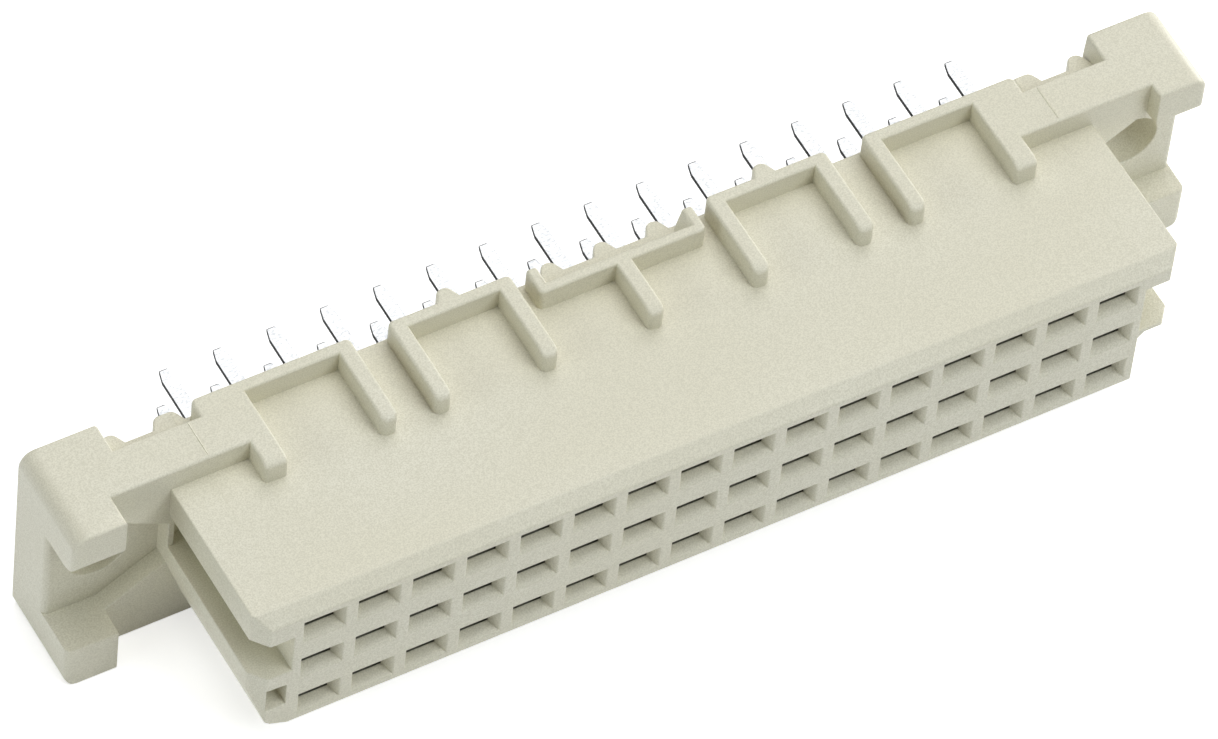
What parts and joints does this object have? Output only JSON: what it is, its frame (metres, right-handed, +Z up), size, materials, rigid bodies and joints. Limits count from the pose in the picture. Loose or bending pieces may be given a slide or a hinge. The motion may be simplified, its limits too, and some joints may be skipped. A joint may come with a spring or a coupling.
{
  "type": "rectangular pin connector",
  "caption": "Female board connector with three rows of spring contacts in a ribbed plastic housing, straight solder tails and two fixing flanges.",
  "frame": {"origin": "middle of the whole part in length and depth, on the plane under the flange feet", "axes": "+X along the contact rows, -Y out of the mating face with +Y along the solder tails, +Z up to the ribbed long side"},
  "size_m": [0.055, 0.0144, 0.0104],
  "materials": {
    "housing_plastic": "satin moulded, glass filled, warm light grey",
    "tinned_contact": "tin plated copper alloy strip"
  },
  "bodies": {
    "root": {"housing": "housing_plastic", "contact_a01": "tinned_contact", "contact_a02": "tinned_contact", "contact_a03": "tinned_contact", "contact_a04": "tinned_contact", "contact_a05": "tinned_contact", "contact_a06": "tinned_contact", "contact_a07": "tinned_contact", "contact_a08": "tinned_contact", "contact_a09": "tinned_contact", "contact_a10": "tinned_contact", "contact_a11": "tinned_contact", "contact_a12": "tinned_contact", "contact_a13": "tinned_contact", "contact_a14": "tinned_contact", "contact_a15": "tinned_contact", "contact_a16": "tinned_contact", "contact_b01": "tinned_contact", "contact_b02": "tinned_contact", "contact_b03": "tinned_contact", "contact_b04": "tinned_contact", "contact_b05": "tinned_contact", "contact_b06": "tinned_contact", "contact_b07": "tinned_contact", "contact_b08": "tinned_contact", "contact_b09": "tinned_contact", "contact_b10": "tinned_contact", "contact_b11": "tinned_contact", "contact_b12": "tinned_contact", "contact_b13": "tinned_contact", "contact_b14": "tinned_contact", "contact_b15": "tinned_contact", "contact_b16": "tinned_contact", "contact_c01": "tinned_contact", "contact_c02": "tinned_contact", "contact_c03": "tinned_contact", "contact_c04": "tinned_contact", "contact_c05": "tinned_contact", "contact_c06": "tinned_contact", "contact_c07": "tinned_contact", "contact_c08": "tinned_contact", "contact_c09": "tinned_contact", "contact_c10": "tinned_contact", "contact_c11": "tinned_contact", "contact_c12": "tinned_contact", "contact_c13": "tinned_contact", "contact_c14": "tinned_contact", "contact_c15": "tinned_contact", "contact_c16": "tinned_contact"}
  },
  "joints": []
}
